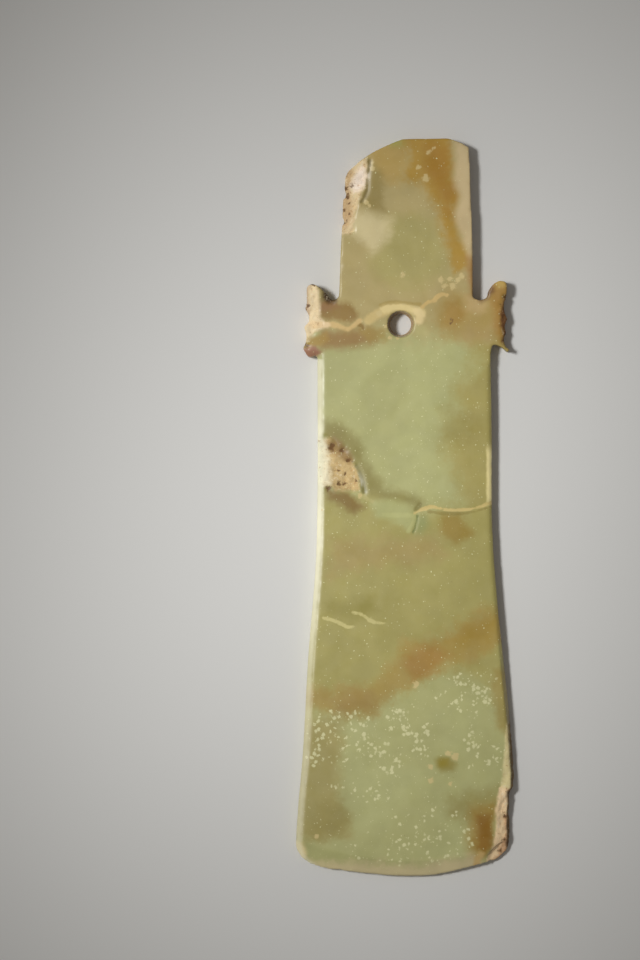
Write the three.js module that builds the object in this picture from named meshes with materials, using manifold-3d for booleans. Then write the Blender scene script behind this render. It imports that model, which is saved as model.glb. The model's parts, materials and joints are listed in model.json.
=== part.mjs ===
// Jade axe head, ground from one thin slab: a tang with a drilled hole, two toothed flanges,
// and a blade that flares to a curved cutting edge. It lies on its flat back. Millimetres:
// +Y runs towards the butt of the tang, +X to the right, and +Z through the thickness.
import * as THREE from "three";
import { mergeVertices } from "three/addons/utils/BufferGeometryUtils.js";
import Module from "manifold-3d";

const wasm = await Module();
wasm.setup();
const { clamp, degToRad, lerp, smoothstep } = THREE.MathUtils;

// Driving dimensions. While the piece is shaped, Y = 0 is the row of the hole's centre and
// X = 0 the blade's middle line. The last step moves it over its origin.
const THICKNESS = 5.3;
const BUTT_Y = 53.9;
const TANG_RIGHT = 19.7;
const EDGE_Y = -160.3; // lowest point of the cutting edge
const EDGE_X = 1.5;
const EDGE_BOW = 0.0055; // rise of the edge for each square mm from EDGE_X
const HOLE = { x: -1.2, y: 0, mouth: 3.9, throat: 3.0, throatZ: 0.9, back: 3.3, sides: 48 };
const CURVE_STEPS = 5;
const MARGIN = 4; // how far the cutting shapes run past the stone

// The blade's sides as [Y, X] stations, from the flanges down to the cutting edge.
const LEFT_SIDE = [
  [-8, -25.4], [-50, -25.4], [-68, -25.8], [-97, -28.1], [-127, -29.8], [-140, -31.0], [-156, -32.0],
];
const RIGHT_SIDE = [
  [-8, 24.9], [-30, 25.3], [-60, 25.5], [-80, 26.9], [-100, 29.0], [-112, 30.3], [-124, 31.3], [-156, 33.0],
];

// The two faces. Widths are shares of the blade's width or mm, and drops are in mm.
const FACE = {
  crown: 0.45, // the front falls this much from the middle line to the sides
  leftFacet: 0.033, // the ground facets along the sides, as shares of the width
  rightFacet: 0.021,
  leftDrop: 1.0,
  rightDrop: 0.8,
  rightDropBelow: 2.6, // the right facet turns into a steep flank towards the edge
  backDrop: 0.6,
  edgeFacet: 4.5, // the ground facet behind the cutting edge
  edgeDropFront: 1.9,
  edgeDropBack: 1.5,
  thinning: 0.5, // the front comes down this much over the lower half
};
const STEEPENS = [80, 120]; // mm below the hole, between which the right facet steepens
const TANG_FLAT_FROM = 12; // above this the front is flat

// Grid lines of the two faces. The outer ones lie beyond the stone, and the next mark the
// facets. The back is flat between its facets, so it has few lines there.
const OUTER = [-0.25, -0.06, FACE.leftFacet];
const OUTER_END = [1 - FACE.rightFacet, 1.06, 1.25];
const FRONT_COLUMNS = [...OUTER, 0.14, 0.26, 0.38, 0.5, 0.62, 0.74, 0.86, ...OUTER_END];
const BACK_COLUMNS = [...OUTER, 0.2, 0.4, 0.6, 0.8, ...OUTER_END];
const EDGE_ROWS = [EDGE_Y - FACE.edgeFacet / 2, EDGE_Y + FACE.edgeFacet];
const FRONT_STEP = 4;
const BACK_ROWS = [-146, -132, -118, -104, -90, -76, -64, -13, -9];

// Broken places, as flattened balls sunk into the front: centre, half sizes, turn in degrees.
const CHIPS = [
  { at: [-19.6, 36.5, 6.1], half: [6.6, 11.5, 2.7], turn: -8 }, // long scar on the tang
  { at: [-15.6, 45.6, 6.0], half: [4.2, 2.8, 1.9], turn: 35 },
  { at: [-20.6, -42.0, 5.3], half: [9.6, 5.2, 1.2], turn: -38 }, // hollow in the blade's side
  { at: [-24.6, -38.0, 5.2], half: [5.6, 6.6, 1.7], turn: 10 },
  { at: [31.0, -144.5, 5.6], half: [4.8, 12.0, 2.1], turn: -1 }, // broken corner
  { at: [31.7, -144.0, 5.0], half: [2.2, 10.0, 4.2], turn: -1 }, // and its steep flank
  { at: [28.6, -154.2, 3.9], half: [5.6, 3.6, 1.7], turn: 38 },
];

function sideCurve(stations) {
  const curve = new THREE.CubicInterpolant(stations.map((s) => -s[0]), stations.map((s) => s[1]), 1);
  return (y) => curve.evaluate(-y)[0];
}

const leftSide = sideCurve(LEFT_SIDE);
const rightSide = sideCurve(RIGHT_SIDE);
const edgeRise = (x) => EDGE_BOW * (x - EDGE_X) ** 2;

// Concave bites between tooth tips: each entry is the next tip and how deep the bite is.
function scallops(path, tips, inward) {
  for (const [x, y, bite] of tips) {
    const from = path.currentPoint;
    path.quadraticCurveTo((from.x + x) / 2 + inward * 2 * bite, (from.y + y) / 2, x, y);
  }
}

function curveThrough(path, points) {
  path.splineThru(points.map(([x, y]) => new THREE.Vector2(x, y)));
}

function linesThrough(path, points) {
  for (const [x, y] of points) {
    path.lineTo(x, y);
  }
}

function bladeSide(path, side, fromY, toY, steps) {
  for (let i = 0; i <= steps; i += 1) {
    const y = lerp(fromY, toY, i / steps);
    path.lineTo(side(y), y);
  }
}

function leftFlange(path) {
  curveThrough(path, [[-20.3, 7.0], [-21.8, 7.5], [-23.2, 9.2], [-26.4, 11.6], [-28.5, 11.0]]);
  linesThrough(path, [[-28.5, 6.1], [-29.0, 4.4]]);
  scallops(path, [[-29.3, -0.9, 1.4], [-29.6, -7.0, 0.9]], 1);
  curveThrough(path, [[-28.3, -9.2], [-27.3, -9.6], [-25.5, -8.8]]);
}

function rightFlange(path) {
  curveThrough(path, [[25.5, -6.0], [28.0, -6.7], [29.6, -8.1]]);
  path.lineTo(30.6, -7.7);
  scallops(path, [[29.6, -2.6, 1.4], [29.8, 1.4, 0.7], [29.4, 7.5, 0.8]], -1);
  curveThrough(path, [[29.6, 11.6], [27.8, 12.6], [25.7, 11.6], [24.3, 9.6], [23.7, 7.6], [21.6, 6.9]]);
  path.lineTo(TANG_RIGHT, 7.5);
}

function cuttingEdge(path) {
  curveThrough(path, [[-31.4, -152.4], [-29.9, -154.9], [-26.1, -157.5], [-18.7, -158.7], [-5.2, -160.1]]);
  curveThrough(path, [[EDGE_X, EDGE_Y], [10.9, -159.6], [26.4, -155.6]]);
}

function brokenCorner(path) {
  curveThrough(path, [[29.3, -153.2], [30.3, -150.2], [30.5, -146.0], [30.2, -136.6]]);
  linesThrough(path, [[30.5, -135.6], [31.6, -134.2]]);
}

function tang(path) {
  curveThrough(path, [[TANG_RIGHT, 21.5], [19.2, 35], [18.6, 51.3]]);
  path.quadraticCurveTo(15.6, 53.2, 12.5, BUTT_Y);
  path.lineTo(-0.5, BUTT_Y - 0.2);
  path.quadraticCurveTo(-7.4, 51.4, -13.1, 47.4);
}

function outline() {
  const path = new THREE.Shape();
  path.moveTo(-13.1, 47.4);
  linesThrough(path, [[-16.4, 44.5], [-17.3, 42.6], [-17.5, 39.4], [-16.9, 37.6], [-17.9, 36.2]]);
  linesThrough(path, [[-18.1, 31.2], [-17.5, 29.6], [-18.2, 28.4]]);
  curveThrough(path, [[-18.6, 21.5], [-19.1, 8.1]]);
  leftFlange(path);
  bladeSide(path, leftSide, -10, -150, 24);
  cuttingEdge(path);
  brokenCorner(path);
  bladeSide(path, rightSide, -131, -9, 22);
  rightFlange(path);
  tang(path);
  return path;
}

// Turns a closed three.js geometry into a solid for joining and cutting.
function solid(geometry) {
  geometry.deleteAttribute("normal");
  geometry.deleteAttribute("uv");
  const merged = mergeVertices(geometry, 1e-4);
  return new wasm.Manifold(new wasm.Mesh({
    numProp: 3,
    vertProperties: new Float32Array(merged.attributes.position.array),
    triVerts: new Uint32Array(merged.index.array),
  }));
}

function geometryOf(body) {
  const mesh = body.getMesh();
  const geometry = new THREE.BufferGeometry();
  geometry.setAttribute("position", new THREE.BufferAttribute(mesh.vertProperties, 3));
  geometry.setIndex(new THREE.BufferAttribute(mesh.triVerts, 1));
  return geometry;
}

function outlineSolid() {
  const depth = THICKNESS + 2 * MARGIN;
  const geometry = new THREE.ExtrudeGeometry(outline(), {
    depth,
    bevelEnabled: false,
    curveSegments: CURVE_STEPS,
  });
  geometry.translate(0, 0, -MARGIN);
  return solid(geometry);
}

// The share of a side facet's drop at u, which is 0 at the left side and 1 at the right.
function beside(u, facet) {
  return clamp(1 - u / facet, 0, 4);
}

function behindEdge(x, y) {
  return clamp(1 - (y - EDGE_Y - edgeRise(x)) / FACE.edgeFacet, 0, 1.6);
}

// How far the front stands back from its plane.
function frontDrop(u, x, y) {
  const blade = 1 - smoothstep(y, -14, TANG_FLAT_FROM);
  const crown = blade * FACE.crown * clamp(2 * u - 1, -1, 1) ** 2;
  const left = FACE.leftDrop * beside(u, FACE.leftFacet);
  const rightDrop = lerp(FACE.rightDrop, FACE.rightDropBelow, smoothstep(-y, ...STEEPENS));
  const right = rightDrop * beside(1 - u, FACE.rightFacet);
  const facets = (left + right) * (1 - smoothstep(y, -13, -9));
  const thinned = FACE.thinning * smoothstep(-y, 70, 160);
  return crown + facets + FACE.edgeDropFront * behindEdge(x, y) + thinned;
}

// How far the back stands up from the plane it lies on.
function backDrop(u, x, y) {
  const sides = beside(u, FACE.leftFacet) + beside(1 - u, FACE.rightFacet);
  const facets = FACE.backDrop * sides * (1 - smoothstep(y, -13, -9));
  return facets + FACE.edgeDropBack * behindEdge(x, y);
}

function frontRows() {
  const rows = [...EDGE_ROWS];
  while (rows.at(-1) + FRONT_STEP < TANG_FLAT_FROM) {
    rows.push(rows.at(-1) + FRONT_STEP);
  }
  return [...rows, TANG_FLAT_FROM, BUTT_Y + MARGIN];
}

// A box with one side, the front or the back, pulled to the stone's face. Its rows bend with
// the cutting edge, and its other side lies beyond the stone.
function faceSolid(columns, rows, isFront) {
  const geometry = new THREE.BoxGeometry(1, 1, 1, columns.length - 1, rows.length - 1, 1);
  const place = geometry.attributes.position;
  for (let i = 0; i < place.count; i += 1) {
    const u = columns[Math.round((place.getX(i) + 0.5) * (columns.length - 1))];
    const row = rows[Math.round((place.getY(i) + 0.5) * (rows.length - 1))];
    const x = lerp(leftSide(row), rightSide(row), u);
    const y = row + edgeRise(x) * (1 - smoothstep(row, EDGE_Y + FACE.edgeFacet, -100));
    const front = isFront ? THICKNESS - frontDrop(u, x, y) : THICKNESS + MARGIN;
    const back = isFront ? -MARGIN : backDrop(u, x, y);
    place.setXYZ(i, x, y, place.getZ(i) > 0 ? front : back);
  }
  return solid(geometry);
}

function facesSolid() {
  const front = faceSolid(FRONT_COLUMNS, frontRows(), true);
  const back = faceSolid(BACK_COLUMNS, [...EDGE_ROWS, ...BACK_ROWS, BUTT_Y + MARGIN], false);
  return front.intersect(back);
}

// Drilled from the front, so it narrows towards the back, where it broke through.
function holeSolid() {
  const { mouth, throat, throatZ, back, sides } = HOLE;
  const profile = [[0, -MARGIN], [back, -MARGIN], [back, 0], [throat, throatZ], [mouth, THICKNESS],
    [mouth, THICKNESS + MARGIN], [0, THICKNESS + MARGIN]];
  const geometry = new THREE.LatheGeometry(profile.map(([r, z]) => new THREE.Vector2(r, z)), sides);
  geometry.rotateX(Math.PI / 2);
  geometry.translate(HOLE.x, HOLE.y, 0);
  return solid(geometry);
}

function chipSolid({ at, half, turn }) {
  const geometry = new THREE.IcosahedronGeometry(1, 3);
  geometry.scale(...half);
  geometry.rotateZ(degToRad(turn));
  geometry.translate(...at);
  return solid(geometry);
}

function axeHead() {
  let body = outlineSolid().intersect(facesSolid()).subtract(holeSolid());
  for (const chip of CHIPS) {
    body = body.subtract(chipSolid(chip));
  }
  const geometry = geometryOf(body);
  geometry.computeBoundingBox();
  const { min, max } = geometry.boundingBox;
  geometry.translate(-(min.x + max.x) / 2, -(min.y + max.y) / 2, -min.z);
  const jade = new THREE.MeshStandardMaterial({ color: 0xaeaa74, roughness: 0.45, metalness: 0 });
  const mesh = new THREE.Mesh(geometry, jade);
  mesh.name = "axe_head";
  return mesh;
}

const part = new THREE.Group();
part.add(axeHead());
export default part;
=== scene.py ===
"""Jade axe head: the blade's finished surface, seen from above on a pale floor."""

import json
import math

import bpy
import numpy as np
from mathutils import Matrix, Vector, noise


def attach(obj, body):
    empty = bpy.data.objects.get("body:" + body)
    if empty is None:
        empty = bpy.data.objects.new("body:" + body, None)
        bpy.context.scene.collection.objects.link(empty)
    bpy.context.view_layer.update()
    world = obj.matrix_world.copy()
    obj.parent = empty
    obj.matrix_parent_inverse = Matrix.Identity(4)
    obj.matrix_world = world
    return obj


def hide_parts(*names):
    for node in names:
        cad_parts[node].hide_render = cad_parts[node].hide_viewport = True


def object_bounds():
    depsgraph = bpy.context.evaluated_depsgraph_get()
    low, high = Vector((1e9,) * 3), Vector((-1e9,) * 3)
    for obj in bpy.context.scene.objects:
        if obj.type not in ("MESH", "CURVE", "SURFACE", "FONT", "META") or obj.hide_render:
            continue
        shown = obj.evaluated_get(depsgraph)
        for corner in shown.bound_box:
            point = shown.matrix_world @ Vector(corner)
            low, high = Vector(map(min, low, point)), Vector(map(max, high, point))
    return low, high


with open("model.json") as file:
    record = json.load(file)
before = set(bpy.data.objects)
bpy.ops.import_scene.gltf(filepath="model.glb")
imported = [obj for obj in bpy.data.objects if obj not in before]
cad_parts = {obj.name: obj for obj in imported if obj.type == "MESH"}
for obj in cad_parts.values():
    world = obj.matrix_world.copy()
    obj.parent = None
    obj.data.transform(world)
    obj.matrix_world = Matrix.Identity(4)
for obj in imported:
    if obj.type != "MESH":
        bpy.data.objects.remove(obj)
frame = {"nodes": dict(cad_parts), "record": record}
cad_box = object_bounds()

MM = 0.001

# Places on the stone are given in mm from a datum: Y = 0 is the row of the lashing hole's
# centre, and X = 0 the blade's middle line, which lies this far to the right of the hole.
HOLE_LEFT_OF_MIDDLE = 1.2
hole_low, hole_high = frame["record"]["physics"]["openings"][0]["box_m"]
DATUM = Vector((
    (hole_low[0] + hole_high[0]) / 2 + HOLE_LEFT_OF_MIDDLE * MM,
    (hole_low[1] + hole_high[1]) / 2,
    0.0,
))

# Camera: straight above, a little left of the blade's middle.
VIEW_CENTRE = (-24.65, -45.24)  # mm from the datum
VIEW_HEIGHT = 1.2  # m above the stone's face
VIEW_LONG_SIDE = 0.2784  # m of the picture's long side, at the stone's face
SENSOR = 36.0

# Key light: a soft spot from the upper left, its pool longer down the picture than across.
# Found by trial.
KEY_MIDDLE = (11, -4, 0)  # mm from the view's centre, where the light aims
KEY_FROM = (-0.497, 0.137, 0.857)  # m from there to the light
KEY_WATTS = 43.0
KEY_SPREAD = 13.9  # degrees
KEY_STRETCH = 1.87
KEY_RADIUS = 0.12  # m, how soft its shadows are

FLOOR_REACH = 1.5  # m from the origin to each side of the floor

VOXEL = 0.52  # mm, the size of the surface mesh's faces
GAIN = 1.09  # raises all the stone's colours, found by trial, to suit this light


def srgb(red, green, blue):
    """Linear colour from 0-255 display values."""
    def linear(value):
        share = value / 255.0
        return share / 12.92 if share <= 0.04045 else ((share + 0.055) / 1.055) ** 2.4
    return tuple(linear(v) for v in (red, green, blue)) + (1.0,)


# ---------------------------------------------------------------- outlines of the zones

# Each zone of colour: its outline in mm from the datum, its colour, how soft its border is
# in mm, how far noise moves the border in mm, and how strongly it covers.
ZONES = [
    ("tang_stone", [(-36, -3), (36, -3), (36, 60), (-36, 60)], (180, 163, 108), 4.0, 2.0, 1.0),
    ("shoulder_brown", [(-24.6, -1.6), (-16, -2), (-11, -1.4), (-8, -2.4), (-8, -5),
        (-13, -6.6), (-18, -7.4),
                        (-24.6, -7)], (150, 115, 65), 1.5, 0.6, 0.85),
    # partly the bore's own tan and partly painted shade: a darker brown laid all round the hole's wall, a
    # recess
    ("hole_wall", [(-1.2, 3.8), (1.5, 2.7), (2.6, 0), (1.5, -2.7), (-1.2, -3.8), (-3.9, -2.7),
        (-5.0, 0),
                   (-3.9, 2.7)], (168, 132, 78), 0.4, 0.1, 0.9),
    ("shoulder_olive", [(-12, -0.6), (-6, -1.6), (-5, -4.6), (-10, -5.4), (-13, -3)],
        (160, 136, 66), 1.0, 0.6, 0.7),
    ("armpit_brown", [(-24.6, 6.4), (-20, 6.4), (-16, 6), (-13.6, 3), (-14, 1.2), (-18, 1),
        (-22, 1.4), (-24.6, 2)],
     (146, 116, 60), 0.9, 0.6, 0.9),
    ("armpit_pink", [(-24.6, 6.6), (-21, 6.8), (-18.6, 5), (-21, 3.8), (-24.4, 4)],
        (150, 112, 70), 0.9, 0.5, 0.8),
    ("right_ochre", [(8, 6), (13, 11), (20, 9), (32, 14), (33, -9), (24, -7), (20, -6),
        (12, -3), (8, 1)],
     (170, 145, 80), 2.2, 1.2, 0.85),
    ("ochre_core", [(12, 6.4), (15.5, 7), (17.4, 3.4), (17, 1), (14.6, -0.6), (12, 0)],
        (160, 126, 54), 1.6, 1.0, 0.8),
    ("right_pinkish", [(16.6, 9), (20, 8.4), (24, 6), (23, 4), (18, 4.4)],
        (194, 167, 114), 1.5, 0.8, 0.8),
    ("right_low_tan", [(15, -2), (25, -1), (26, -6), (17, -5)], (176, 152, 98), 1.5, 1.0, 0.7),
    ("hole_green", [(2.8, -0.4), (6, -0.6), (6.6, -3), (3, -3.6)], (186, 178, 120), 0.9, 0.4, 0.8),
    ("tang_olive", [(-10, 54), (0, 55), (2, 46), (-2, 41), (-8, 42), (-10, 47)],
        (182, 153, 82), 2.0, 1.0, 0.85),
    ("tang_green_tip", [(-6, 54), (0, 54.4), (0.6, 51.6), (-4, 51.4)],
        (166, 164, 84), 1.0, 0.5, 0.7),
    ("tang_green", [(-8, 31), (8, 31), (12, 22), (13, 14), (2, 11), (-8, 13), (-10, 20), (-7, 25)],
     (171, 162, 98), 3.0, 1.5, 0.8),
    ("amber", [(-1, 56), (13.5, 56), (14, 47), (13.6, 43), (15.6, 38), (14, 33), (14.4, 30),
        (16.5, 24), (19, 20),
               (19.4, 17), (17, 15), (14.5, 15), (13, 21), (10.5, 28), (9, 33), (6.5, 38),
               (3, 41), (0, 43),
               (1, 48)], (176, 140, 54), 1.6, 1.2, 0.95),
    ("amber_deep", [(6, 52), (13, 52), (13.4, 46), (12.6, 41), (14.8, 37), (13, 31), (11, 33),
        (9, 40), (6, 44)],
     (168, 124, 38), 2.2, 1.2, 0.85),
    ("tang_rim", [(13.6, 56), (22, 56), (22, 8), (19.9, 8), (19.4, 18), (17.4, 23), (15.6, 28),
        (14.6, 32),
                  (16.2, 37), (14.2, 42), (14.6, 47)], (208, 186, 140), 1.1, 0.6, 0.9),
    ("tang_rim_brown", [(17.8, 19), (21.5, 20), (21.5, 8), (18.8, 8.5), (17.8, 13)],
        (172, 130, 74), 1.2, 0.6, 0.85),
    ("scar_shade", [(-10.5, 47), (-7, 44), (-6, 36), (-5, 32), (-11, 33), (-13, 35.6), (-11.6, 40)],
     (152, 134, 74), 1.3, 0.8, 0.85),
    ("pale_patch", [(-18, 27), (-15, 32.5), (-10, 32), (-4, 30.4), (-4.5, 26), (-7.6, 22),
        (-9.6, 20.6), (-12.4, 24),
                    (-16, 26)], (214, 199, 150), 1.8, 0.9, 0.9),
    ("scar", [(-20, 46), (-14, 47.6), (-11.4, 48.4), (-10.8, 46), (-11, 42.5), (-11.6, 40),
        (-12.8, 37.6),
              (-13.4, 35.2), (-14.4, 32), (-14.8, 29), (-14.6, 27), (-16, 25.8), (-20, 26.4)],
     (226, 203, 158), 0.5, 0.5, 1.0),
    ("scar_tan", [(-20, 46.5), (-16, 45.6), (-14.8, 43), (-15.4, 41), (-16, 38), (-15.2, 34),
        (-15.4, 30), (-17, 28),
                  (-20, 28)], (204, 172, 126), 0.8, 0.8, 0.85),
    ("scar_glow", [(-14.8, 42.6), (-12.4, 46.6), (-11.4, 44), (-11.6, 41), (-13, 38.4),
        (-15, 38), (-15.8, 40)],
     (250, 233, 214), 0.7, 0.6, 0.9),
    ("left_flange", [(-28, 11.6), (-26.2, 11.8), (-25.2, 9.6), (-24.9, 6), (-24.9, 2),
        (-24, 0.8), (-23.6, -1.2),
                     (-26, -2.6), (-27.8, -4), (-29, -6), (-31, -5), (-31, 0), (-28.6, 2),
                     (-27.6, 4.4),
                     (-27.9, 7)], (238, 216, 174), 0.6, 0.4, 0.95),
    ("flange_edge", [(-31, 12), (-28.2, 11.4), (-27.9, 6), (-27.6, 3), (-28.6, 0.8), (-31, 1)],
     (206, 178, 146), 0.5, 0.4, 0.9),
    ("flange_inner", [(-24.9, 10.4), (-23.6, 10), (-23, 7.6), (-24.4, 6.2)],
        (140, 124, 76), 0.7, 0.3, 0.85),
    ("flange_low", [(-28.4, -4), (-25.6, -3.2), (-22.6, -2), (-22, -4.6), (-24.6, -6.2),
        (-28.6, -6.8)],
     (170, 139, 70), 0.7, 0.4, 0.85),
    ("left_lobe", [(-31, -7), (-26, -6.6), (-24.6, -8.4), (-27, -10.8), (-31, -10.4)],
        (158, 108, 88), 0.7, 0.4, 0.9),
    # painted shade: near-black brown in the notch between the left flange and the tang, where the flange's
    # shadow falls
    ("left_notch", [(-23.4, 10), (-21.6, 9.6), (-19.8, 7.6), (-20, 6.4), (-22, 6), (-23.6, 7.4)],
     (66, 44, 22), 0.8, 0.4, 0.95),
    ("right_flange", [(23.8, 13.4), (32, 14), (33, -9), (27.6, -6.6), (26, -2), (25.6, 3),
        (24.6, 6.4)],
     (168, 128, 58), 1.2, 0.7, 0.85),
    ("flange_tip", [(25.6, 13.4), (29.6, 14), (29.4, 10.8), (27, 10.4)],
        (198, 168, 92), 0.8, 0.4, 0.85),
    # painted shade: dark red-brown on the right flange's outer slope, which faces away from the light; the
    # slope is also sunk in relief
    ("flange_side", [(28.3, 8.5), (32, 10), (33, -9), (29.4, -7), (28.2, -5.6), (28, -1),
        (27.6, 3)],
     (106, 66, 34), 0.6, 0.6, 0.92),
    ("right_notch", [(22.2, 8.6), (25.4, 11), (26, 9.4), (24, 7.2), (22, 6.4)],
        (104, 68, 42), 0.8, 0.4, 0.8),
    ("right_side", [(21, -6), (30, -6), (30, -62), (20, -62), (16, -50), (12, -38), (16, -30),
        (14, -20),
                    (20, -12)], (166, 153, 86), 3.5, 2.0, 0.85),
    ("right_blotch", [(11, -25), (20, -26), (23, -32), (15, -35), (10, -31)],
        (156, 143, 76), 2.5, 1.5, 0.6),
    ("above_chip", [(-22, -31.5), (-19, -31.4), (-17.6, -33.4), (-19, -35), (-21.6, -33.8)],
     (154, 126, 78), 1.0, 0.5, 0.8),
    ("chip_shade", [(-24, -28), (-18, -29), (-14, -33), (-10.5, -41), (-6, -47.5), (5, -50.5),
        (6, -53.2),
                    (-8, -51.6), (-13, -49), (-16, -40), (-21, -34), (-24, -32.5)],
                    (142, 133, 74), 1.6, 0.8, 0.9),
    ("lower_stone", [(-36, -50), (-12, -50), (0, -54), (30, -53), (30, -106), (10, -100),
        (0, -106), (-12, -113),
                     (-36, -113)], (166, 157, 92), 3.0, 1.5, 0.95),
    ("under_chip", [(-23.5, -47.4), (-20.6, -48.4), (-17, -48.8), (-14.6, -50), (-12, -53),
        (-15, -55), (-18.4, -52.4),
                    (-22, -50.8)], (132, 106, 50), 1.2, 0.6, 0.9),
    ("pale_green", [(-9.6, -52), (-5, -50.8), (0, -52), (3, -54.4), (3, -57), (1.4, -60.4),
        (-1.6, -58), (-8, -56)],
     (174, 175, 116), 1.2, 0.8, 0.9),
    ("tip_green", [(3.4, -55.6), (6, -55.2), (7, -58), (5, -61), (2.8, -61)],
        (150, 156, 98), 1.2, 0.5, 0.8),
    ("under_crack_blotch", [(10, -54.6), (16, -54.6), (18, -58), (20, -61), (15, -64), (11, -61)],
     (152, 128, 56), 1.4, 0.8, 0.85),
    ("pink_band", [(-22, -62), (-6, -62), (9, -62), (12, -67), (-2, -70.5), (-22, -73)],
     (166, 147, 90), 2.5, 1.5, 0.8),
    ("left_blotch", [(-23, -80.5), (-10, -79), (-8, -83), (-14, -86), (-23, -84.5)],
        (150, 141, 72), 1.8, 1.0, 0.8),
    ("brown_band", [(-30, -105), (-12, -105.5), (-4, -99), (0, -92), (10, -91), (18, -85),
        (30, -82), (30, -92),
                    (21, -97), (12, -99.5), (5, -104), (-2, -106.5), (-10, -113.5), (-22, -113),
                    (-30, -110)],
     (166, 143, 76), 2.0, 1.6, 0.9),
    ("band_spot_middle", [(1, -96), (8, -93.5), (12, -96), (9, -102), (3, -103), (0, -99)],
     (166, 128, 62), 2.0, 1.2, 0.8),
    ("band_spot_right", [(12, -92), (18, -87), (26, -86), (24, -92), (17, -94)],
        (162, 134, 54), 2.2, 1.2, 0.8),
    ("band_spot_left", [(-22, -109), (-10, -106), (-8, -112), (-20, -113.5)],
        (158, 132, 72), 2.2, 1.2, 0.8),
    ("left_lower", [(-36, -112), (-18, -114), (-18, -124), (-20, -135), (-17, -148), (-36, -151)],
     (164, 152, 92), 2.5, 1.5, 0.9),
    ("left_lower_dark", [(-26, -139), (-18, -138), (-16, -144), (-20, -149.5), (-28, -149)],
     (154, 142, 80), 1.8, 1.0, 0.8),
    ("right_lower", [(26, -100), (31, -100), (31, -121), (27, -117), (25, -108)],
        (160, 142, 76), 1.2, 0.8, 0.8),
    ("lower_right_olive", [(13, -137), (27, -134), (26, -142), (18, -145), (13, -142)],
        (156, 146, 84), 2.4, 1.2, 0.8),
    ("brown_spot", [(8.8, -126.4), (10.5, -125.2), (13, -125.6), (15, -127.4), (14, -129.6),
        (10.6, -130.2),
                    (8.9, -128.6)], (150, 138, 66), 0.9, 0.4, 0.9),
    ("spot_core", [(9.6, -126.4), (12.4, -126), (12.6, -128.2), (10, -128.4)],
        (152, 136, 50), 0.7, 0.3, 0.9),
    ("stain_halo", [(19, -140), (26, -139), (26, -149), (25, -154), (20, -157), (17.6, -148)],
     (160, 130, 56), 1.8, 0.8, 0.8),
    ("stain", [(21.2, -143), (24.8, -142.6), (25.3, -146), (25.2, -151.6), (23, -153.6),
        (21, -152), (20.6, -147)],
     (142, 102, 26), 1.1, 0.6, 0.9),
    ("stain_core", [(22.4, -145), (24.4, -145), (24.6, -149), (22.4, -149)],
        (138, 98, 12), 0.9, 0.4, 0.9),
    ("edge_band", [(-36, -154), (-20, -156.4), (-6, -156.6), (6, -156.4), (20, -154.5),
        (24, -158), (0, -165),
                   (-36, -160)], (208, 192, 148), 1.5, 1.0, 0.85),
    ("left_corner", [(-34, -149.6), (-30, -150.4), (-28.4, -153.6), (-30, -157), (-34, -157)],
     (228, 210, 156), 0.9, 0.4, 0.9),
    ("corner_cream", [(19.6, -158.6), (20.4, -154.6), (21.8, -153), (23.2, -153.6),
        (21.8, -156), (21.6, -158.6)],
     (200, 169, 108), 0.5, 0.3, 0.9),
    ("edge_cream", [(29.7, -116), (29.0, -120), (28.8, -126), (28.5, -131), (27.5, -134.8),
        (29.6, -136.5),
                    (34, -134), (34, -116)], (226, 211, 154), 0.5, 0.4, 0.95),
    ("broken_edge", [(27.5, -134.6), (27.2, -138), (26.6, -143), (26.3, -148), (25.9, -151.6),
        (24.2, -154.4),
                     (24, -156.4), (27, -158), (34, -154), (34, -134.6)],
                     (248, 218, 172), 0.5, 0.5, 1.0),
    # the broken corner's brown, deepened into painted shade where its slope faces away from the light
    ("edge_brown", [(29.4, -140.6), (28.8, -144), (29, -147.6), (28.2, -150), (27, -154),
        (25, -156), (27, -158),
                    (33, -154), (33, -141)], (188, 138, 94), 0.6, 0.6, 0.7),
    # painted shade: near-black brown over the steep right flank of the lower blade, which lies in shadow
    ("flank", [(30.3, -112), (30.4, -119), (30.5, -125), (31.0, -130), (30.8, -134),
        (29.6, -135.6), (29.6, -146),
               (29.3, -151), (30, -154), (36, -150), (36, -106), (30.0, -106)],
               (74, 52, 32), 0.4, 0.3, 0.95),
    ("chip", [(-24, -33.2), (-21.8, -33.4), (-20, -36), (-17.6, -37), (-15.6, -40),
        (-14, -42.4), (-13, -46),
              (-12.6, -48.4), (-14.6, -49), (-17.4, -48.4), (-20, -48.2), (-21.4, -46.6),
              (-26, -46.8),
              (-28, -40), (-27, -33.6)], (200, 174, 122), 0.5, 0.5, 1.0),
    # brown in the chip's upper hollows, partly painted shade on the upper wall that faces away from the
    # light
    ("chip_brown", [(-22.6, -34.6), (-20.6, -33.4), (-18, -34.6), (-16.4, -37), (-15.2, -39.6),
        (-16.4, -40.8),
                    (-18.4, -38.2), (-20.6, -37.4), (-22.4, -37.6)],
                    (146, 117, 72), 0.8, 0.7, 0.85),
    ("chip_pale", [(-28, -33.4), (-23.2, -33.4), (-22.4, -36.4), (-22, -40), (-21.4, -43),
        (-21.6, -46),
                   (-24, -46.8), (-28, -47)], (240, 231, 198), 0.8, 0.6, 0.95),
]

# Rough, open stone: the zone, and how deep its relief runs in mm.
BROKEN = {
    "scar": 0.8, "chip": 0.7, "broken_edge": 0.6, "edge_cream": 0.3, "left_flange": 0.4, "flange_edge": 0.6,
    "flange_side": 1.0, "left_notch": 0.8,
}

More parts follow.
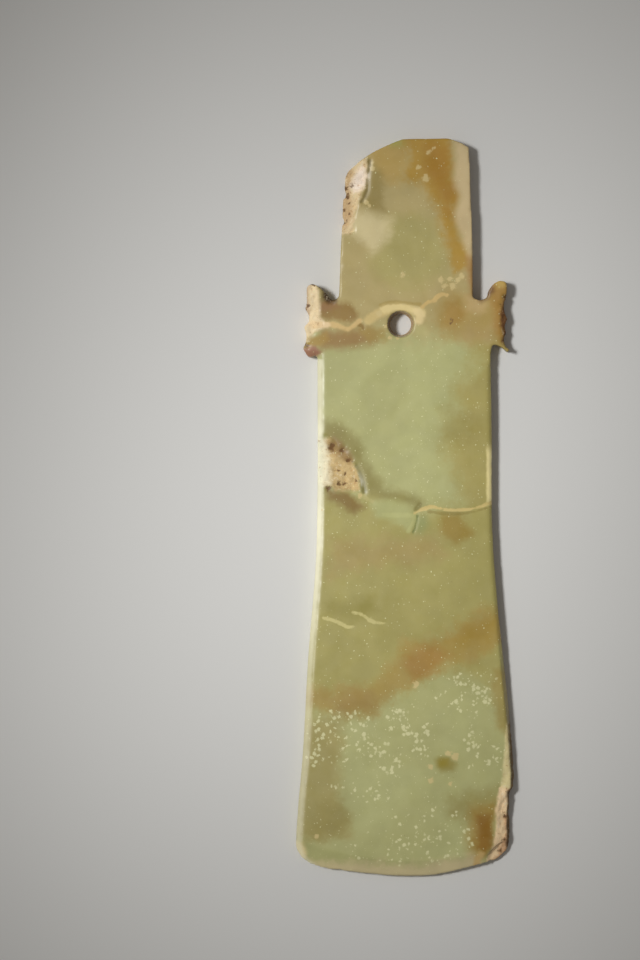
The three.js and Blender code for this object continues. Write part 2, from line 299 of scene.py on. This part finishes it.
# Pits in the broken stone: x, y, radius and depth in mm.
PITS = [
    (-21.4, -35.7, 1.2, 0.7), (-18.0, -36.8, 0.9, 0.6), (-16.6, -39.6, 1.0, 0.9),
    (-19.6, -42.4, 0.5, 0.35),
    (-17.2, -43.4, 0.5, 0.3), (-18.9, -46.4, 0.8, 0.6), (-17.4, -46.0, 0.7, 0.5),
    (-14.2, -45.6, 0.6, 0.4),
    (-22.2, -47.6, 1.0, 0.4), (-17.1, 39.5, 0.8, 0.8), (-17.1, 37.1, 0.9, 0.9),
    (-15.7, 40.4, 0.7, 0.6),
    (-16.4, 43.6, 0.7, 0.5), (-17.6, 33.2, 0.6, 0.6), (-16.2, 35.2, 0.6, 0.5),
    (-17.3, 29.4, 0.6, 0.5),
    (-16.0, 31.8, 0.6, 0.5), (28.9, -143.0, 0.7, 0.6), (28.7, -149.4, 0.8, 0.6),
    (27.4, -153.0, 0.7, 0.4),
    (-28.2, 5.6, 0.7, 0.5), (-28.9, 4.2, 0.7, 0.6), (-28.5, -6.4, 0.8, 0.6),
    (-26.8, 11.5, 0.6, 0.4),
    (28.6, -4.6, 0.8, 0.5), (28.8, 1.6, 0.9, 0.5), (27.9, 5.4, 0.7, 0.4), (12.9, 0.6, 0.6, 0.0),
]

# Small pale flecks: x, y and radius in mm.
FLECKS = [
    (7.0, 49.8, 1.0), (4.0, 45.4, 0.9), (5.9, 42.2, 1.3), (-11.2, 35.3, 0.9),
    (-10.3, 34.2, 0.6), (8.4, 51.0, 0.6),
    (-9.5, 45.2, 1.0), (-9.4, 46.8, 0.7), (-0.8, 14.2, 1.0), (-1.9, -4.1, 0.7),
    (-4.4, -4.0, 0.8), (-5.7, -0.7, 0.6),
    (10.4, 12.8, 1.1), (13.0, 13.1, 0.8), (13.8, 11.0, 1.3), (11.4, 10.9, 1.0),
    (15.3, 12.8, 0.8), (16.3, 14.1, 1.1),
    (-7.6, 3.0, 1.2), (14.6, -125.6, 1.4), (12.6, -124.6, 1.0), (7.6, -128.6, 1.1),
    (7.6, -132.4, 1.0),
    (13.2, -133.4, 0.8), (-25.6, -148.6, 0.9), (3.2, -104.4, 1.2), (-24.0, -54.0, 0.4),
    (-13.0, -49.6, 0.9),
]

# Clusters of pale mineral specks: outline in mm, and how densely they lie.
SPECKS = [
    ("specks_left", [(-26, -112), (-14, -112.5), (-8, -114), (-3, -111), (3, -111), (7, -114),
        (7, -125), (0, -125),
                     (-2, -131), (-6, -131), (-8, -126), (-16, -129), (-20, -127), (-29, -130),
                     (-29, -119)], 0.95),
    ("specks_right", [(9, -108), (14, -101), (18, -98), (25, -98.5), (27, -106), (25, -111),
        (21, -109),
                      (19, -113), (15, -112)], 1.0),
    ("specks_edge", [(17, -112), (21, -112), (22, -121), (29, -121), (28.5, -130), (19, -128),
        (17, -122)], 0.95),
    ("specks_tail", [(-22, -128), (-15, -129), (-14, -137), (-22, -137)], 0.8),
    ("specks_middle", [(-11, -133), (-3, -133), (-3, -138), (-12, -140)], 0.75),
    ("specks_low", [(-3, -141), (8, -139), (18, -142), (21, -152), (10, -157), (-10, -157),
        (-5, -149)], 0.72),
    ("specks_corner", [(-24, -150.5), (-13, -150.5), (-11, -157), (-22, -155)], 0.6),
]

# Veins and cracks: a line in mm from the datum, its half width in mm, its colour, strength,
# and the depth of its groove in mm.
VEINS = [
    ("shoulder_vein", [(-26, -0.2), (-23.5, 0), (-20.5, -0.2), (-18, -1.0), (-16.4, -1.4),
        (-14.8, -0.4),
                       (-13.2, 0.8)], 0.75, (212, 182, 122), 0.9, 0.0),
    ("vein_root", [(-27, 0), (-24.5, 0), (-22.6, -0.2)], 0.9, (236, 208, 162), 0.9, 0.0),
    ("vein_dark", [(-13.4, -0.6), (-12.5, -0.3), (-12.2, -1.3)], 0.5, (136, 106, 46), 0.8, 0.1),
    ("vein_middle", [(-10.6, 1.0), (-9, 2.4), (-7, 3.4),
        (-5.4, 4.2)], 1.2, (212, 188, 124), 0.85, 0.0),
    ("hole_vein", [(-6, 4.6), (-4, 4.9), (-1.5, 5.0), (1, 4.5), (3, 3.8),
        (4.6, 3.2)], 1.1, (228, 207, 144), 0.9, 0.0),
    ("hole_patch", [(3.2, 3.6), (4.4, 2.6), (4.0, 1.2)], 1.2, (230, 208, 152), 0.9, 0.0),
    ("vein_rises", [(5, 5), (6.6, 6.4), (8.4, 6.8), (9.4, 7.9), (11, 8.6),
        (12.2, 8.4)], 0.42, (210, 180, 114), 0.85, 0.0),
    ("vein_top", [(-7, 5.6), (-3, 6.4), (2, 6), (4.4, 5.8)], 0.5, (166, 142, 70), 0.6, 0.05),
    # painted shade: dark olive line along the scar's right rim, where the rim drops into shadow; it also
    # cuts a shallow groove
    ("scar_line", [(-10.3, 47.6), (-10.5, 44.5), (-10.9, 41.5), (-11.1, 38.5), (-12.6, 35.4)],
     0.5, (128, 112, 64), 0.8, 0.25),
    ("crack_right", [(2.6, -55), (4, -54.2), (5.6, -53.6), (8, -53.0), (10.5, -53.5),
        (14, -53.9), (18, -53.8),
                     (22, -53.0), (25.4, -51.8)], 0.36, (208, 187, 120), 0.95, 0.12),
    ("crack_left", [(-12.6, -49.4), (-11, -50.6), (-9.4, -51.6)], 0.6, (184, 174, 114), 0.7, 0.1),
    ("crack_ridge", [(-6.4, -55.2), (-3, -55.4), (0.6, -55.6), (2.6, -55.8), (2.2, -58), (1, -60)],
     0.6, (184, 184, 122), 0.7, 0.0),
    ("crack_branch", [(3.6, -55.6), (3.2, -58), (2.4, -60.4)], 0.32, (118, 126, 72), 0.8, 0.15),
    ("crack_knot", [(4.2, -52.4), (3.2, -53.8)], 0.6, (130, 121, 62), 0.7, 0.1),
    ("crack_shade", [(7, -54.4), (11, -54.9), (17, -54.9), (21, -54.2), (25.4, -52.8)],
     0.35, (140, 124, 60), 0.6, 0.0),
    # painted shade: dark olive line along the chip's right border; it also cuts a groove
    ("chip_rim", [(-14.2, -41), (-13, -43.4), (-12.3, -46),
        (-11.8, -48.6)], 0.6, (118, 112, 62), 0.75, 0.3),
    ("second_crack", [(-23.6, -85.2), (-20, -86.2), (-17, -87.8),
        (-15, -87.6)], 0.42, (206, 196, 132), 0.85, 0.08),
    ("second_crack_right", [(-15, -83.8), (-12.6, -84.2), (-9.6, -86.2), (-5.6, -86.9)],
     0.42, (204, 194, 130), 0.85, 0.08),
]


def crossings(points, x, y):
    """Even-odd test of many places against one closed outline."""
    inside = np.zeros(len(x), bool)
    for (x0, y0), (x1, y1) in zip(points, points[1:] + points[:1]):
        spans = (y0 > y) != (y1 > y)
        at = (x1 - x0) * (y - y0) / ((y1 - y0) or 1e-9) + x0
        inside ^= spans & (x < at)
    return inside


def line_distance(points, x, y):
    """Distance from many places to the nearest point of an open line."""
    nearest = np.full(len(x), 1e9)
    for (x0, y0), (x1, y1) in zip(points, points[1:]):
        run, rise = x1 - x0, y1 - y0
        share = np.clip(((x - x0) * run + (y - y0) * rise) / (run * run + rise * rise), 0, 1)
        nearest = np.minimum(nearest, np.hypot(x - x0 - share * run, y - y0 - share * rise))
    return nearest


def inside_distance(points, x, y):
    """Distance to a closed outline, positive inside it."""
    reach = line_distance(points + points[:1], x, y)
    return np.where(crossings(points, x, y), reach, -reach)


def smooth_line(points, steps=6):
    """Catmull-Rom curve through an open line's points."""
    ends = [points[0]] + list(points) + [points[-1]]
    curve = []
    for a, b, c, d in zip(ends, ends[1:], ends[2:], ends[3:]):
        for i in range(steps):
            t = i / steps
            curve.append(tuple(
                0.5 * (2 * q + (r - p) * t + (2 * p - 5 * q + 4 * r - s) * t ** 2
                       + (3 * q - p - 3 * r + s) * t ** 3)
                for p, q, r, s in zip(a, b, c, d)
            ))
    return curve + [tuple(points[-1])]


# ---------------------------------------------------------------- the surface mesh

def dense_copy(node, name):
    """A finely meshed copy of a CAD node."""
    source = frame["nodes"][node]
    piece = bpy.data.objects.new(name, source.data.copy())
    bpy.context.scene.collection.objects.link(piece)
    remesh = piece.modifiers.new("fine", "REMESH")
    remesh.mode = "VOXEL"
    remesh.voxel_size = VOXEL * MM
    graph = bpy.context.evaluated_depsgraph_get()
    fine = bpy.data.meshes.new_from_object(piece.evaluated_get(graph))
    piece.modifiers.clear()
    piece.data = fine
    return piece


def add_attribute(mesh, name, values):
    layer = mesh.attributes.new(name, "FLOAT", "POINT")
    layer.data.foreach_set("value", np.asarray(values, np.float32))


def read_points(mesh, what="co"):
    values = np.zeros(len(mesh.vertices) * 3)
    source = mesh.vertices if what == "co" else mesh.vertex_normals
    source.foreach_get("co" if what == "co" else "vector", values)
    return values.reshape(-1, 3)


def side_reach(x, y, step=1.0):
    """Distance from the left and from the right rim of the silhouette, row by row, in mm."""
    rows = np.round((y - y.min()) / step).astype(int)
    left = np.full(rows.max() + 1, 1e9)
    right = np.full(rows.max() + 1, -1e9)
    np.minimum.at(left, rows, x)
    np.maximum.at(right, rows, x)
    centres = y.min() + np.arange(rows.max() + 1) * step
    return x - np.interp(y, centres, left), np.interp(y, centres, right) - x


def measure(x, y):
    """Each zone's, vein's and pit's distances or shares at the mesh's points."""
    reach = {}
    for name, points, *_ in ZONES + SPECKS:
        reach[name] = inside_distance(points, x, y)
    for name, points, *_ in VEINS:
        reach[name] = line_distance(smooth_line(points), x, y)
    reach["left_rim"], reach["right_rim"] = side_reach(x, y)
    warp_x, warp_y = warped(x, y)
    reach["pit"] = spots(warp_x, warp_y, [(px, py, radius, 1.0) for px, py, radius, _ in PITS])
    reach["fleck"] = spots(x, y, [(px, py, radius, 1.0) for px, py, radius in FLECKS])
    return reach


def warped(x, y):
    """The same places, pushed about so that round hollows turn irregular."""
    flat = np.column_stack([x, y, np.zeros(len(x))])
    return x + 0.9 * rough(flat, 0.7, 3), y + 0.9 * rough(flat + 40.0, 0.7, 3)


def spots(x, y, places):
    """Largest of several round bumps: centre, radius and height each."""
    share = np.zeros(len(x))
    for px, py, radius, height in places:
        share = np.maximum(share, height * np.exp(-((x - px) ** 2 + (y - py) ** 2) / radius ** 2))
    return share


def smooth_step(values, low, high):
    share = np.clip((values - low) / (high - low), 0, 1)
    return share * share * (3 - 2 * share)


def rough(place, scale, octaves):
    """Fractal noise at each place, about -1 to 1."""
    return np.array([noise.fractal(Vector(p) * scale, 1.0, 2.0, octaves) for p in place])


def relief(reach, place):
    """How far the front sinks below the ground surface, in mm."""
    x, y = place[:, 0], place[:, 1]
    flat = place * [1.0, 1.0, 0.0]
    ragged = rough(flat, 0.35, 3)
    broken = np.zeros(len(x))
    for name, depth in BROKEN.items():
        broken = np.maximum(broken, depth * smooth_step(reach[name] + ragged * 0.8, -0.2, 0.9))
    steps = rough(flat, 0.42, 4)
    crumbs = rough(flat, 1.2, 3)
    sink = broken * np.clip(0.7 + 1.1 * steps + 0.6 * crumbs, 0.0, 2.0)
    sink += spots(*warped(x, y), PITS)
    for name, _, half_width, _, _, groove in VEINS:
        sink += groove * np.exp(-(reach[name] / (half_width * 1.3)) ** 2)
    rim = np.minimum(reach["left_rim"], reach["right_rim"])
    nicks = np.clip(rough(flat, 0.28, 4) - 0.25, 0, 1) * smooth_step(-rim, -1.2, 0)
    return sink + 0.5 * nicks + 0.05 * (1 + rough(flat, 0.06, 2))


def make_blade():
    piece = dense_copy("axe_head", "jade_blade")
    mesh = piece.data
    points = read_points(mesh)
    normals = read_points(mesh, "normal")
    place = (points - np.array(DATUM)) / MM
    reach = measure(place[:, 0], place[:, 1])
    underside = smooth_step(-normals[:, 2], 0.2, 0.6)
    for name in BROKEN:
        reach[name] = reach[name] - 6 * underside
    height = np.clip(place[:, 2] / (cad_box[1].z / MM), 0, 1)
    points[:, 2] -= relief(reach, place) * height * MM
    reach["broken"] = np.max([smooth_step(reach[name], -0.3, 0.5) for name in BROKEN], axis=0)
    wall = 1 - smooth_step(np.abs(normals[:, 2]), 0.2, 0.6)
    bite = wall * np.clip(0.15 + rough(place, 0.5, 4), 0, 1) * (0.1 + 0.5 * reach["broken"])
    points[:, :2] -= normals[:, :2] * (bite * MM)[:, None]
    # painted shade: marks the walls that face right, away from the light, for a dark brown
    reach["right_wall_shade"] = wall * smooth_step(normals[:, 0], 0.1, 0.5)
    mesh.vertices.foreach_set("co", points.ravel())
    for name, values in reach.items():
        add_attribute(mesh, name, values)
    mesh.shade_smooth()
    mesh.update()
    return piece


# ---------------------------------------------------------------- material graph

class Graph:
    """Short calls for building one material's node tree."""

    def __init__(self, name):
        self.material = bpy.data.materials.new(name)
        self.material.use_nodes = True
        self.tree = self.material.node_tree
        self.shader = self.tree.nodes["Principled BSDF"]

    def put(self, value, socket):
        if hasattr(value, "is_output"):
            self.tree.links.new(value, socket)
        elif value is not None:
            socket.default_value = value

    def node(self, kind, inputs=(), **settings):
        made = self.tree.nodes.new(kind)
        for key, value in settings.items():
            setattr(made, key, value)
        for key, value in dict(inputs).items():
            self.put(value, made.inputs[key])
        return made

    def math(self, operation, first, second=0.0, third=0.0):
        made = self.node("ShaderNodeMath", {0: first, 1: second, 2: third}, operation=operation)
        return made.outputs[0]

    def span(self, value, low, high, to_low=0.0, to_high=1.0):
        """Smooth step of a value between two bounds."""
        made = self.node(
            "ShaderNodeMapRange",
            {"Value": value, "From Min": low, "From Max": high, "To Min": to_low, "To Max": to_high},
            interpolation_type="SMOOTHSTEP",
        )
        return made.outputs["Result"]

    def mix(self, share, under, over):
        made = self.node("ShaderNodeMix", data_type="RGBA")
        self.put(share, made.inputs[0])
        self.put(under, made.inputs[6])
        self.put(over, made.inputs[7])
        return made.outputs[2]

    def noise(self, vector, scale, detail=3.0, roughness=0.5):
        made = self.node("ShaderNodeTexNoise", {
            "Vector": vector, "Scale": scale, "Detail": detail, "Roughness": roughness,
        })
        return made.outputs["Fac"]

    def read(self, name):
        return self.node("ShaderNodeAttribute", attribute_name=name).outputs["Fac"]


def place_in_mm(graph):
    """The surface's place in mm from the datum, the same at every pose."""
    coordinates = graph.node("ShaderNodeTexCoord").outputs["Object"]
    made = graph.node("ShaderNodeMapping", {
        "Vector": coordinates,
        "Location": tuple(-c / MM for c in DATUM),
        "Scale": (1 / MM,) * 3,
    }, vector_type="POINT")
    return made.outputs["Vector"]


def jade_material():
    graph = Graph("jade")
    place = place_in_mm(graph)
    coarse = graph.math("SUBTRACT", graph.noise(place, 0.16, 3.0), 0.5)
    fine = graph.math("SUBTRACT", graph.noise(place, 0.8, 4.0, 0.6), 0.5)
    wobble = graph.math("MULTIPLY_ADD", fine, 2.6, graph.math("MULTIPLY", coarse, 5.0))

    colour = graph.mix(graph.span(graph.noise(place, 0.05, 3.0), 0.4, 0.62),
                       srgb(174, 173, 116), srgb(179, 179, 122))
    for name, _, tone, soft, ragged, strength in ZONES:
        moved = graph.math("MULTIPLY_ADD", wobble, ragged, graph.read(name))
        share = graph.math("MULTIPLY", graph.span(moved, -1.3 * soft, 1.3 * soft), strength)
        colour = graph.mix(share, colour, srgb(*tone))
    colour = add_specks(graph, place, colour)
    colour = add_rim_highlights(graph, place, colour)
    for name, _, half_width, tone, strength, _ in VEINS:
        moved = graph.math("MULTIPLY_ADD", wobble, 0.35, graph.read(name))
        share = graph.math("MULTIPLY", graph.span(moved, half_width * 1.6, half_width * 0.4), strength)
        colour = graph.mix(share, colour, srgb(*tone))
    colour = add_broken_stone(graph, place, colour)
    fleck = graph.math("MULTIPLY_ADD", fine, 1.6, graph.read("fleck"))
    fleck = graph.math("MULTIPLY", graph.span(fleck, 0.35, 0.75), 0.75)
    colour = graph.mix(fleck, colour, srgb(212, 192, 134))
    # painted shade: dark brown laid on the walls that face right, away from the light
    colour = graph.mix(graph.math("MULTIPLY", graph.read("right_wall_shade"), 0.8), colour, srgb(122, 98, 60))
    mottle = graph.span(graph.noise(place, 0.14, 4.0, 0.5), 0.3, 0.7, 0.95 * GAIN, 1.05 * GAIN)
    colour = graph.node("ShaderNodeHueSaturation", {"Color": colour, "Value": mottle}).outputs[0]
    graph.put(colour, graph.shader.inputs["Base Color"])
    broken = graph.read("broken")
    polish = graph.span(graph.noise(place, 0.25, 3.0), 0.3, 0.7, 0.34, 0.5)
    graph.put(graph.span(broken, 0.0, 1.0, polish, 0.85), graph.shader.inputs["Roughness"])
    add_bump(graph, place, broken)
    return graph.material


def add_specks(graph, place, colour):
    """Pale mineral specks, in clusters."""
    shift = graph.node("ShaderNodeTexNoise", {"Vector": place, "Scale": 0.9, "Detail": 2.0})
    wobbling = graph.node("ShaderNodeVectorMath", {
        0: place, 1: shift.outputs["Color"],
    }, operation="ADD").outputs[0]
    cells = graph.node("ShaderNodeTexVoronoi", {"Vector": wobbling, "Scale": 0.85, "Randomness": 1.0})
    size = graph.node("ShaderNodeSeparateColor", {0: cells.outputs["Color"]}).outputs[0]
    ragged = graph.math("SUBTRACT", graph.noise(place, 1.3, 3.0, 0.6), 0.5)
    distance = graph.math("MULTIPLY_ADD", ragged, 0.45, cells.outputs["Distance"])
    patches = graph.noise(place, 0.3, 3.0, 0.6)
    for name, _, density in SPECKS:
        inside = graph.span(graph.read(name), -3.0, 2.0)
        wanted = graph.math("MULTIPLY", inside, graph.span(patches, 0.36, 0.56, 0.1, density))
        radius = graph.span(graph.math("SUBTRACT", wanted, size), -0.02, 0.7, 0.0, 0.56)
        dots = graph.span(graph.math("SUBTRACT", radius, distance), -0.16, 0.18)
        colour = graph.mix(graph.math("MULTIPLY", dots, 0.8), colour, srgb(219, 216, 165))
    return colour


def add_rim_highlights(graph, place, colour):
    """Painted highlights on the ground side facets: pale on the left facets, which face the light, and pale
    in one stretch of the right facet.
    """
    y = graph.node("ShaderNodeSeparateXYZ", {0: place}).outputs[1]
    uneven = graph.math("SUBTRACT", graph.noise(place, 0.35, 3.0), 0.5)
    left = graph.math("MULTIPLY_ADD", uneven, 1.0, graph.read("left_rim"))
    left = graph.span(left, 2.3, 0.8)
    upper = graph.math("MULTIPLY", graph.span(y, -9.0, -11.0), graph.span(y, -24.0, -34.0, 0.75, 1.0))
    blade = graph.math("MULTIPLY", upper, graph.span(y, -64.0, -110.0, 1.0, 0.45))
    # painted highlight on the left facets, which face the light
    colour = graph.mix(graph.math("MULTIPLY", left, blade), colour, srgb(235, 231, 200))
    right = graph.math("MULTIPLY_ADD", uneven, 1.0, graph.read("right_rim"))
    right = graph.span(right, 2.1, 1.1)
    stretch = graph.math("MULTIPLY", graph.span(y, -34.0, -38.0), graph.span(y, -54.0, -50.0))
    # painted highlight along one stretch of the right facet
    return graph.mix(graph.math("MULTIPLY", right, stretch), colour, srgb(236, 222, 158))


def add_broken_stone(graph, place, colour):
    """Crumbled cream stone with brown in its hollows."""
    broken = graph.read("broken")
    crumbs = graph.noise(place, 0.9, 5.0, 0.65)
    brown = graph.math("MULTIPLY", graph.span(crumbs, 0.44, 0.32), broken)
    colour = graph.mix(graph.math("MULTIPLY", brown, 0.55), colour, srgb(170, 128, 80))
    light = graph.math("MULTIPLY", graph.span(crumbs, 0.55, 0.68), broken)
    colour = graph.mix(graph.math("MULTIPLY", light, 0.5), colour, srgb(246, 231, 200))
    pit = graph.math("MULTIPLY_ADD", graph.math("SUBTRACT", crumbs, 0.5), 2.0, graph.read("pit"))
    return graph.mix(graph.math("MULTIPLY", graph.span(pit, 0.3, 0.85), 0.9), colour, srgb(104, 72, 36))


def add_bump(graph, place, broken):
    grain = graph.noise(place, 2.2, 5.0, 0.65)
    waves = graph.noise(place, 0.12, 2.0)
    grain = graph.math("MULTIPLY", grain, graph.span(broken, 0, 1, 0.04, 0.6))
    bump = graph.node("ShaderNodeBump", {
        "Height": graph.math("MULTIPLY_ADD", waves, 0.5, grain), "Strength": 0.5, "Distance": 0.5 * MM,
    })
    graph.put(bump.outputs[0], graph.shader.inputs["Normal"])


def floor_material():
    graph = Graph("floor")
    graph.shader.inputs["Base Color"].default_value = (0.72, 0.72, 0.70, 1.0)
    graph.shader.inputs["Roughness"].default_value = 0.9
    return graph.material


# ---------------------------------------------------------------- floor, lights, camera

def make_floor():
    mesh = bpy.data.meshes.new("floor")
    corners = [(-1, -1), (1, -1), (1, 1), (-1, 1)]
    mesh.from_pydata([(FLOOR_REACH * x, FLOOR_REACH * y, 0) for x, y in corners], [], [(0, 1, 2, 3)])
    floor = bpy.data.objects.new("floor", mesh)
    bpy.context.scene.collection.objects.link(floor)
    mesh.materials.append(floor_material())


def aim(thing, target):
    thing.rotation_euler = (Vector(target) - thing.location).to_track_quat("-Z", "Y").to_euler()


def view_centre():
    return DATUM + Vector((VIEW_CENTRE[0], VIEW_CENTRE[1], 0)) * MM


def make_camera():
    data = bpy.data.cameras.new("camera")
    camera = bpy.data.objects.new("camera", data)
    bpy.context.scene.collection.objects.link(camera)
    face = cad_box[1].z
    camera.location = view_centre() + Vector((0, 0, face + VIEW_HEIGHT))
    data.sensor_width = SENSOR
    data.lens = SENSOR * VIEW_HEIGHT / VIEW_LONG_SIDE
    data.clip_end = 10
    bpy.context.scene.camera = camera


def make_light(name, kind, location, target, energy, **settings):
    data = bpy.data.lights.new(name, kind)
    data.energy = energy
    for key, value in settings.items():
        setattr(data, key, value)
    light = bpy.data.objects.new(name, data)
    bpy.context.scene.collection.objects.link(light)
    light.location = location
    aim(light, target)
    return light


def make_lights():
    middle = view_centre() + Vector(KEY_MIDDLE) * MM
    key = make_light("key", "SPOT", middle + Vector(KEY_FROM), middle, KEY_WATTS,
                     spot_size=math.radians(KEY_SPREAD), spot_blend=1.0, shadow_soft_size=KEY_RADIUS)
    key.scale = (KEY_STRETCH, 1.0, 1.0)
    world = bpy.data.worlds.new("studio")
    world.use_nodes = True
    world.node_tree.nodes["Background"].inputs["Color"].default_value = (1.0, 0.95, 0.89, 1.0)
    world.node_tree.nodes["Background"].inputs["Strength"].default_value = 0.2
    bpy.context.scene.world = world


bpy.context.scene.view_settings.view_transform = "Standard"
make_camera()
blade = make_blade()
blade.data.materials.clear()
blade.data.materials.append(jade_material())
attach(blade, "root")
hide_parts("axe_head")
make_floor()
make_lights()
